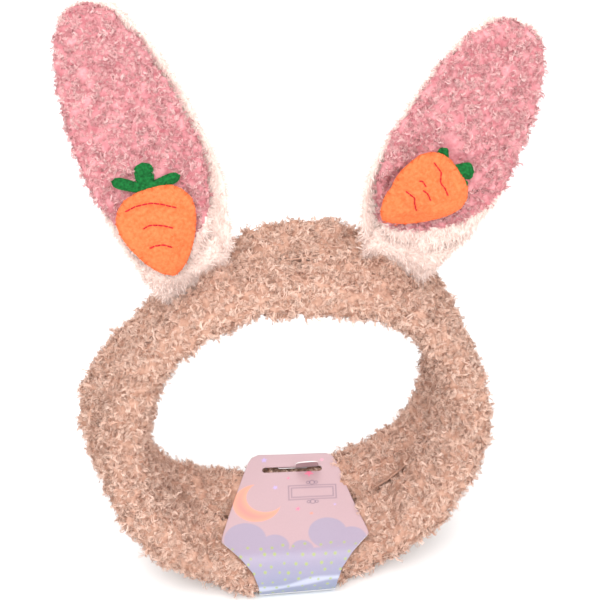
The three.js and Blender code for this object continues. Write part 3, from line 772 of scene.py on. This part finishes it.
def build_ear(side):
    """The ear's plush back and its fleece front, which is pink above and white below."""
    rng = np.random.default_rng(SEED + 10 + len(side))
    down = -COMB * ear_up(side)
    body = f"{side}_ear"
    carrot = tree_of([f"{side}_carrot_backing", f"{side}_carrot_cover", f"{side}_carrot_leaves"])

    back = soft_copy(f"{side}_ear_plush", [f"{side}_ear_back"], EAR_BACK)
    front = soft_copy(f"{side}_ear_fleece", [f"{side}_ear_front"], EAR_FRONT)
    puff(back, EAR_BACK)
    puff(front, EAR_FRONT)
    push(back, EAR_BACK["lump_rise"] * noise_at(points_of(back), EAR_BACK["lumps"]))
    clumps = Clumps(front, EAR_FRONT["tufts"], rng)
    push(front, lumpy(front, EAR_FRONT, clumps))
    back.data.materials.append(WHITE_GROUND)
    front.data.materials.append(PINK_SHADED_GROUND)
    front.data.materials.append(WHITE_GROUND)
    middles = np.array([p.center for p in front.data.polygons])
    front.data.polygons.foreach_set("material_index", (~is_pink(side, middles)).astype(np.int32))
    finish_piece(back, body, [f"{side}_ear_back", f"{side}_ear_wadding"])
    finish_piece(front, body, [f"{side}_ear_front"])

    clear_of_back = clear_of(f"{side}_ear_back")

    def in_pink(points, normals):
        return is_pink(side, points) & clear_of_back(points, normals)

    def in_white(points, normals):
        return ~is_pink(side, points) & clear_of_back(points, normals)

    pink = curly_pile(f"{side}_ear_curls", front, clumps, PINK_PILE, rng, in_pink, carrot)
    finish_piece(pink, body)
    low = short_pile(f"{side}_ear_low_pile", front, WHITE_PILE, rng, in_white, carrot, down)
    finish_piece(low, body)
    clear_of_front = clear_of(f"{side}_ear_front")
    white = short_pile(f"{side}_ear_pile", back, WHITE_PILE, rng, clear_of_front, comb=down)
    finish_piece(white, body)


def on_ear(side, x, z, depth):
    """A point of the ear's frame, in mm, bent by the ear's cup, in the row frame."""
    return ear_frame(side) @ (Vector((x, -depth - EAR_CUP * (x / EAR_HALF_SPAN) ** 2, z)) * MM)


def on_carrot(side, x, z):
    """A point given from the carrot's middle as (x, z) across and up its ear."""
    cx, cz, turn = EARS[side]["carrot"]
    a = math.radians(turn)
    return cx + x * math.cos(a) - z * math.sin(a), cz + x * math.sin(a) + z * math.cos(a)


def build_skirt(side):
    """The ear's white foot, sewn between the lobes of the band, which curves from the band up into the ear's
    slant.
    """
    rng = np.random.default_rng(SEED + 20 + len(side))
    hinge, radial, along = foot_axes(side)
    turns = ear_frame(side).to_3x3()
    ear_across, ear_through, up = (turns @ Vector(v) for v in ((1, 0, 0), (0, 1, 0), (0, 0, 1)))
    head = hinge + up * SKIRT["height"] * MM
    foot = hinge - radial * SKIRT["depth"] * MM
    rings, around = SKIRT["rings"], SKIRT["around"]
    verts = []
    for i in range(rings):
        t = i / (rings - 1)
        middle = foot * (1 - t) ** 2 + hinge * 2 * t * (1 - t) + head * t * t
        across = along.lerp(ear_across, t)
        through = Vector((0, 1, 0)).lerp(ear_through, t)
        wide = np.interp(t, *SKIRT["half_widths"]) * MM
        thick = np.interp(t, *SKIRT["half_depths"]) * MM
        for j in range(around):
            a = 2 * math.pi * j / around
            x = math.copysign(abs(math.cos(a)) ** SKIRT["squareness"], math.cos(a))
            if x * EARS[side]["inward"] > 0:
                x *= SKIRT["inner_share"]
            cup = EAR_CUP * MM * (x * wide / MM / EAR_HALF_SPAN) ** 2 * t
            verts.append(middle + across * x * wide + through * (math.sin(a) * thick - cup))
    skirt = new_object(f"{side}_ear_foot", [tuple(v) for v in verts], tube_faces(rings, around))
    push(skirt, SKIRT["lump_rise"] * noise_at(points_of(skirt), SKIRT["lumps"]))
    skirt.data.materials.append(WHITE_GROUND)
    comb = FOOT_COMB * np.array(up)
    pile = short_pile(f"{side}_ear_foot_pile", skirt, WHITE_PILE, rng, comb=comb)
    for piece in (skirt, pile):
        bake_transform(piece)
    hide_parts(f"{side}_ear_root")


def drop_on(tree, side, x, z):
    """Where the line straight back from in front of the ear meets the surface, and its normal."""
    start = on_ear(side, x, z, IN_FRONT)
    back = on_ear(side, x, z, 0) - start
    hit, normal, _, _ = tree.ray_cast(start, back.normalized())
    return None if hit is None else (hit, normal)


def build_carrot(side):
    """A small velour pad with a whip-stitched edge, held down by its stitched lines."""
    rng = np.random.default_rng(SEED + 30 + len(side))
    nodes = [f"{side}_carrot_{part}" for part in ("cover", "wadding", "backing")]
    pad = soft_copy(f"{side}_carrot", nodes, CARROT)
    near = from_lines(side, pad)
    push(pad, -LINE["draw"] * MM * np.exp(-(near / (LINE["spread"] * MM)) ** 2))
    puff(pad, CARROT, pinned=near < LINE["held"] * MM)
    pad.data.materials.append(ORANGE)
    finish_piece(pad, f"{side}_ear", nodes)
    fuzz = short_pile(f"{side}_carrot_fuzz", pad, ORANGE_PILE, rng)
    finish_piece(fuzz, f"{side}_ear")
    build_lines(side, pad)
    build_whip_stitches(side, pad, rng)
    build_leaves(side, rng)


def from_lines(side, pad):
    """How far each of the pad's points is from the nearest stitched line."""
    surface = surface_of(pad)
    spots = [drop_on(surface, side, *on_carrot(side, x, z))
             for run in EARS[side]["stitches"] for x, z in resampled(run, LINE["pad_step"])]
    threads = points_tree([spot[0] for spot in spots if spot])
    return np.array([threads.find(p)[2] for p in points_of(pad)])


def build_lines(side, pad):
    """The thread of the stitched lines: each stitch dips into the pad at both ends."""
    surface = surface_of(pad)
    stitches = []
    for run in EARS[side]["stitches"]:
        line = resampled(run, LINE["step"])
        count = max(1, round(len(line) * LINE["step"] / LINE["stitch"]))
        per_stitch = max(2 * LINE["fewest"], len(line) // count)
        for first in range(0, len(line) - LINE["fewest"], per_stitch):
            part = line[first:first + per_stitch + 1]
            path = []
            for i, (x, z) in enumerate(part):
                spot = drop_on(surface, side, *on_carrot(side, x, z))
                if spot:
                    share = math.sin(math.pi * i / (len(part) - 1)) ** 0.5
                    path.append(spot[0] + spot[1] * (LINE["end"] + LINE["rise"] * share) * MM)
            if len(path) > LINE["fewest"]:
                stitches.append(path)
    thread = joined_tubes(f"{side}_carrot_lines", stitches, LINE["radius"] * MM)
    thread.data.materials.append(RED)
    names = [n for n in frame["nodes"] if n.startswith(f"{side}_carrot_stitch")]
    finish_piece(thread, f"{side}_ear", names)


def build_whip_stitches(side, pad, rng):
    """Short slanted stitches that sew the carrot's edge to the ear."""
    place = ear_frame(side)
    local = np.array([place.inverted() @ Vector(p) for p in points_of(pad)]) / MM
    cx, cz, _ = EARS[side]["carrot"]
    angle = np.arctan2(local[:, 2] - cz, local[:, 0] - cx)
    reach = np.hypot(local[:, 0] - cx, local[:, 2] - cz)
    paths = []
    for k in range(WHIP["count"]):
        uneven = rng.uniform(-WHIP["unevenness"], WHIP["unevenness"])
        a = 2 * math.pi * (k + uneven) / WHIP["count"] - math.pi
        here = np.abs((angle - a + math.pi) % (2 * math.pi) - math.pi) < WHIP["window"]
        edge = reach[here].max()
        depth = np.median(-local[here & (reach > edge - WHIP["rim"])][:, 1])
        path = []
        for t in np.linspace(0, 1, WHIP["points"]):
            out = edge + WHIP["past"] - WHIP["reach"] * t ** 1.5
            spin = a + WHIP["slant"] * t
            x, z = cx + out * math.cos(spin), cz + out * math.sin(spin)
            arc = math.pi * (0.15 + t * 0.45)
            y = -(depth + WHIP["rise"] * math.sin(arc) - WHIP["sink"])
            path.append(place @ (Vector((x, y, z)) * MM))
        paths.append(path)
    stitches = joined_tubes(f"{side}_carrot_edge_stitches", paths, WHIP["radius"] * MM)
    stitches.data.materials.append(ORANGE_THREAD)
    finish_piece(stitches, f"{side}_ear")


def leaf_points(side, number, leaf):
    """Corners of one felt leaf, its front face and then its back, row by row from the foot."""
    turn, foot, length, half = leaf
    rows, columns = LEAF["rows"], LEAF["columns"]
    turn = math.radians(turn)
    along, across = (-math.sin(turn), math.cos(turn)), (math.cos(turn), math.sin(turn))
    base = LEAF["foot_height"] - 0.03 * foot ** 2       # the carrot's top is lower at its sides
    points = []
    for face in (1, -1):
        for i in range(rows + 1):
            t = i / rows
            past = max(0.0, t - LEAF["tip_from"]) / (1 - LEAF["tip_from"])
            blunt = max(0.0, 1 - past ** 2) ** 0.5
            wide = half * (LEAF["foot_share"] + LEAF["widening"] * t) * blunt
            up = t * (length + LEAF["hidden"]) - LEAF["hidden"]
            for j in range(columns + 1):
                u = 2 * j / columns - 1
                rim = max(0.0, 1 - abs(u) ** 6) ** 0.5 * max(0.0, 1 - t ** 12) ** 0.5
                x = foot + along[0] * up + across[0] * u * wide
                z = base + along[1] * up + across[1] * u * wide
                wave = 1.3 * t * t + 0.5 * math.sin(3 * u + number) * t     # more to its tip
                depth = LEAF["depth"] + wave + LEAF["layer"] * number
                depth += face * LEAF["half_thickness"] * rim
                points.append(tuple(on_ear(side, *on_carrot(side, x, z), depth)))
    return points


def build_leaves(side, rng):
    """Three blunt felt leaves, cut in one piece and caught under the top of the carrot."""
    rows, columns = LEAF["rows"] + 1, LEAF["columns"] + 1
    front = grid_quads(rows, columns)
    quads = np.vstack([front, front[:, ::-1] + rows * columns])
    verts, faces = [], []
    for number, leaf in enumerate(EARS[side]["leaves"]):
        faces += (quads + len(verts)).tolist()
        verts += leaf_points(side, number, leaf)
    leaves = new_object(f"{side}_carrot_leaf_felt", verts, faces)
    leaves.data.materials.append(GREEN)
    finish_piece(leaves, f"{side}_ear", [f"{side}_carrot_leaves"])
    fuzz = short_pile(f"{side}_carrot_leaf_fuzz", leaves, GREEN_PILE, rng)
    finish_piece(fuzz, f"{side}_ear")


# ---------- card ----------
# each panel of the card in mm: its side profile as (y, z), and (share of its length, half width)
FRONT_PANEL = {
    "side": [(-38.3, 4.9), (-41.2, 12), (-40.3, 21), (-34, 28.8), (-22, 31.6), (0, 34), (20, 36.8),
             (31, 37.9)],
    "half_widths": [(0, 19.8), (0.1, 20.5), (0.19, 23), (0.27, 28.5), (0.34, 34.5), (0.385, 38.4),
                    (0.42, 37.8), (0.94, 23.5), (0.98, 21.5), (1, 18)],
}
BACK_PANEL = {
    "side": [(-37.6, 3.7), (-34.6, 1.3), (-30, 0.35), (-25, 0.3), (0, 0.3), (25, 0.3), (31, 0.6),
             (37, 3.4), (41, 9.5), (42, 18), (39.6, 27.5), (34, 33.4), (27.5, 35.3), (22.5, 35.6)],
    "half_widths": [(0, 19.8), (0.08, 21.5), (0.16, 27), (0.25, 36), (0.29, 38.2), (0.33, 37.6),
                    (0.8, 22), (0.9, 20), (0.97, 9), (1, 7.5)],
}
CARD_YAW = -4           # degrees that the card is turned from the band's front
CARD_TWIST = 4          # degrees that each panel turns from its fold to its end
CARD_THICKNESS = 0.5    # mm
CARD_STEP = 0.5         # mm between the points of a panel
CARD_WAVE = {"size": 24 * MM, "height": 0.25 * MM, "above": 3 * MM, "offset": 3.0}
SLOT = {"y": 20.4, "length": 32, "width": 3.8}
SLOT_REACH = (SLOT["length"] - SLOT["width"]) / 2
# the tongue in mm, with its end rounded from a share of its length, over another share
TONGUE = {"side": [(24.5, 35.6), (22.2, 36.0), (20.9, 37.6), (19.9, 40.0), (18.2, 42.8), (16.4, 45.0)],
          "half_width": 6, "x": 11.5, "tip_from": 0.62, "tip": 0.4, "step": 0.4, "columns": 25}


def spline(points, step):
    """Points of a Catmull-Rom line about a step apart, and how far along it each of them is."""
    p = np.array([points[0], *points, points[-1]], float)
    t = np.linspace(0, 1, 24, endpoint=False)[:, None]
    line = [0.5 * (2 * b + (c - a) * t + (2 * a - 5 * b + 4 * c - d) * t ** 2
                   + (3 * b - a - 3 * c + d) * t ** 3)
            for a, b, c, d in zip(p[:-3], p[1:-2], p[2:-1], p[3:])]
    line = np.vstack([*line, p[-1:]])
    along = np.r_[0, np.cumsum(np.linalg.norm(np.diff(line, axis=0), axis=1))]
    count = int(along[-1] / step) + 1
    at = np.linspace(0, along[-1], count)
    return np.stack([np.interp(at, along, line[:, k]) for k in (0, 1)], axis=1), at


def swept(across, line):
    """Grid of points across each point (y, z) of a line."""
    y, z = (np.repeat(line[:, [k]], across.shape[1], 1) for k in (0, 1))
    return np.stack([across, y, z], axis=2)


def panel_grid(panel):
    """Grid of a panel's middle face: its points, and how far across and along each one is, in mm."""
    line, at = spline(panel["side"], CARD_STEP)
    half = np.interp(at / at[-1], *zip(*panel["half_widths"]))
    for _ in range(4):
        half[1:-1] = (half[:-2] + half[1:-1] * 2 + half[2:]) / 4
    columns = int(2 * half.max() / CARD_STEP)
    u = np.linspace(-1, 1, columns)[None] * half[:, None]
    return swept(u, line), u, np.repeat(at[:, None], columns, 1)


def slot_distance(x, y):
    """Distance from the edge of the hang slot, below 0 inside it."""
    return np.hypot(np.maximum(np.abs(x) - SLOT_REACH, 0), y - SLOT["y"]) - SLOT["width"] / 2


def blot(distance, soft=0.3):
    """1 inside a shape and 0 outside it, with a soft edge, from the distance to its edge."""
    return np.clip(0.5 - distance / soft / 2, 0, 1)[..., None]


def star(u, s, centre, size, turn):
    """Distance from a five-pointed star."""
    x, y = u - centre[0], s - centre[1]
    angle = np.arctan2(y, x) + turn
    fold = np.abs((angle / (2 * math.pi / 5)) % 1 - 0.5) * 2
    return np.hypot(x, y) - size * (0.42 + 0.58 * fold ** 1.6)


def paint_front(u, s):
    """Printed picture of the front panel: a pink sky, lilac clouds, a moon, stars and a frame."""
    colour = np.array(PINK_SKY) * np.ones(u.shape + (3,))
    colour += (np.array(PALE_SKY) - colour) * np.clip((s - 70) / 40, 0, 1)[..., None]

    def over(distance, ink, strength=1.0, soft=0.3):
        nonlocal colour
        colour += (np.array(ink) - colour) * blot(distance, soft) * strength

    def away(centre):
        return np.hypot(u - centre[0], s - centre[1])

    moon = away(MOON["centre"]) - MOON["radius"]
    bite = MOON["radius"] * MOON["bite_share"] - away(MOON["bite"])
    over(np.maximum(moon, bite), MOON_INK)
    over(np.maximum(moon + 2.2, bite + 2.6), MOON_BLUSH, 0.55, 2.5)
    for centre, size, turn, ink in STARS:
        over(star(u, s, centre, size, turn), ink)
    middle_u, middle_s = FRAME["centre"]
    for inset in (0, FRAME["inset"]):
        box = np.maximum(np.abs(u - middle_u) - FRAME["half_width"] + inset,
                         np.abs(s - middle_s) - FRAME["half_height"] + inset)
        over(np.abs(box) - FRAME["half_line"], FRAME_INK, 0.8)
    for side in (-1, 1):
        height = middle_s + side * (FRAME["half_height"] + FRAME["curl_height"])
        for shift, size in FRAME["curls"]:
            curl = away((middle_u + shift, height)) - size
            over(np.abs(curl) - FRAME["half_line"], FRAME_INK, 0.8)
    cloud = s - CLOUD_TOP
    for cu, cs, radius in CLOUDS:
        cloud = np.minimum(cloud, away((cu, cs)) - radius)
    over(cloud, LILAC)
    over(s - 17 + 1.5 * np.sin(u / 5), PALE_BLUE, 0.75, 14)
    wave = np.abs(s - 9.5 - 1.6 * np.sin(u / 9) - 0.07 * u) - 1.6 - 0.5 * np.sin(u / 4)
    over(wave, WHITE_INK, 0.7, 0.9)
    return sprinkled(colour, u, s)


def sprinkled(colour, u, s):
    """Adds small yellow-green dots in uneven rows, on the lower part of a panel."""
    rng = np.random.default_rng(SEED + 40)
    for row, height in enumerate(np.arange(3, 34, 4.6)):
        for across in np.arange(-38 + 3 * (row % 2), 38, 6.2):
            cu, cs = across + rng.uniform(-1.3, 1.3), height + rng.uniform(-1.1, 1.1)
            dot = np.hypot(u - cu, s - cs) - rng.uniform(0.55, 0.85)
            there = blot(dot) * 0.75 * (s < DOTS_TOP)[..., None]
            colour = colour + (np.array(DOT_INK) - colour) * there
    return colour


def paint_back(u, s):
    """The back panel is printed plainly, blue below and pink above."""
    share = np.clip((s - 30) / 70, 0, 1)[..., None]
    colour = np.array(PALE_BLUE) * (1 - share) + np.array(PINK_SKY) * share
    return sprinkled(colour, u, s)


def as_card(name, points, quads, colour):
    """A sheet of card from its middle face, printed on the side its quads face."""
    card = new_object(name, points, quads)
    layer = card.data.color_attributes.new("print", "FLOAT_COLOR", "POINT")
    layer.data.foreach_set("color", np.c_[colour.reshape(-1, 3), np.ones(len(points))].ravel())
    card.rotation_euler.z = math.radians(CARD_YAW)
    thick = card.modifiers.new("thick", "SOLIDIFY")
    thick.thickness = CARD_THICKNESS * MM
    thick.offset = 0
    thick.material_offset = 1
    thick.material_offset_rim = 1
    for material in (PRINT, WHITE_CARD):
        card.data.materials.append(material)
    apply_modifiers(card)
    return card


def cut(points):
    """Draws the points near the hang slot's edge onto it, and says which are inside the slot."""
    x, y = points[..., 0], points[..., 1]
    distance = slot_distance(x, y)
    near = np.abs(distance) < CARD_STEP * 0.75
    axis = np.stack([np.clip(x, -SLOT_REACH, SLOT_REACH), np.full_like(x, SLOT["y"])], axis=2)
    away = unit(points[..., :2] - axis)
    points[near, :2] -= away[near] * distance[near][:, None]
    return slot_distance(points[..., 0], points[..., 1]) < -0.01


def card_panel(name, panel, paint, outward, cut_slot=False):
    """One panel of the card, printed on its outward side: 1 if its quads face out, or -1."""
    points, u, s = panel_grid(panel)
    quads = grid_quads(*u.shape)
    if cut_slot:
        quads = quads[~cut(points).ravel()[quads].any(axis=1)]
    turn = -math.radians(CARD_TWIST) * s / s.max()
    fold = panel["side"][0][0]
    x, y = points[..., 0].copy(), points[..., 1] - fold
    points[..., 0] = x * np.cos(turn) - y * np.sin(turn)
    points[..., 1] = x * np.sin(turn) + y * np.cos(turn) + fold
    flat = points.reshape(-1, 3) * MM
    wave = CARD_WAVE["height"] * noise_at(flat, CARD_WAVE["size"], CARD_WAVE["offset"])
    raised = flat[:, 2] + wave * (flat[:, 2] > CARD_WAVE["above"])
    flat[:, 2] = np.maximum(raised, (CARD_THICKNESS / 2 + 0.02) * MM)
    return as_card(name, flat, quads[:, ::outward], paint(u, s))


def build_tongue():
    """The back panel's end, bent up through the right half of the hang slot, with a round tip."""
    path, _ = spline(TONGUE["side"], TONGUE["step"])
    share = np.linspace(0, 1, len(path))[:, None]
    taper = np.sqrt(1 - (np.maximum(0, share - TONGUE["tip_from"]) / TONGUE["tip"]) ** 2)
    u = np.linspace(-1, 1, TONGUE["columns"])[None]
    points = swept(TONGUE["x"] + u * TONGUE["half_width"] * taper, path)
    colour = np.array(PALE_SKY) * np.ones_like(points)
    quads = grid_quads(len(path), TONGUE["columns"])
    return as_card("hang_card_tongue", points.reshape(-1, 3) * MM, quads, colour)


def build_card():
    front = card_panel("hang_card_front", FRONT_PANEL, paint_front, 1, cut_slot=True)
    back = card_panel("hang_card_back", BACK_PANEL, paint_back, -1)
    finish_piece(front, "card_flap", ["card_front_panel"])
    finish_piece(back, "band", ["card_back_panel"])
    finish_piece(build_tongue(), "band")


CARD_TREE = tree_of(["card_front_panel", "card_back_panel"])

for lobe_side in ("front", "back"):
    build_lobe(lobe_side)
for ear_side in EARS:
    build_ear(ear_side)
    build_skirt(ear_side)
    build_carrot(ear_side)

build_card()
for node, material in (("centre_elastic", ELASTIC), ("outer_seam_thread", BEIGE_THREAD),
                       ("inner_seam_thread", BEIGE_THREAD)):
    frame["nodes"][node].data.materials.clear()
    frame["nodes"][node].data.materials.append(material)


# ---------- stage ----------
def build_floor():
    half = 3.0
    corners = [(-half, -half, 0), (half, -half, 0), (half, half, 0), (-half, half, 0)]
    floor = new_object("floor", np.array(corners), [[0, 1, 2, 3]], smooth=False)
    floor.data.materials.append(principled("pale_floor", (0.9, 0.9, 0.9, 1), 0.9))


def add_light(name, position, size, power):
    data = bpy.data.lights.new(name, "AREA")
    data.shape = "DISK"
    data.size = size
    data.energy = power
    light = bpy.data.objects.new(name, data)
    light.location = position
    aim = Vector(LOOP_CENTRE) - Vector(position)
    light.rotation_euler = aim.to_track_quat("-Z", "Y").to_euler()
    scene.collection.objects.link(light)


def build_lights():
    world = bpy.data.worlds.new("studio")
    world.use_nodes = True
    world.node_tree.nodes["Background"].inputs["Color"].default_value = (1, 1, 1, 1)
    world.node_tree.nodes["Background"].inputs["Strength"].default_value = 0.8
    scene.world = world
    add_light("key", (-0.55, -1.0, 1.5), 1.2, 24)
    add_light("fill", (0.5, -1.2, 1.1), 1.4, 13)
    add_light("back", (-0.2, 1.1, 1.4), 1.2, 11)


def build_camera():
    a, e = math.radians(VIEW_AZIMUTH), math.radians(VIEW_ELEVATION)
    back = Vector((-math.sin(a) * math.cos(e), -math.cos(a) * math.cos(e), math.sin(e)))
    right = Vector((0, 0, 1)).cross(back).normalized()
    up = back.cross(right)
    data = bpy.data.cameras.new("camera")
    data.lens = LENS
    data.sensor_width = SENSOR
    camera = bpy.data.objects.new("camera", data)
    camera.location = Vector(LOOP_CENTRE) + back * VIEW_DISTANCE
    aim = -back + AIM_RIGHT * right + AIM_UP * up
    camera.rotation_euler = aim.to_track_quat("-Z", "Y").to_euler()
    scene.collection.objects.link(camera)
    scene.camera = camera


build_floor()
build_lights()
build_camera()
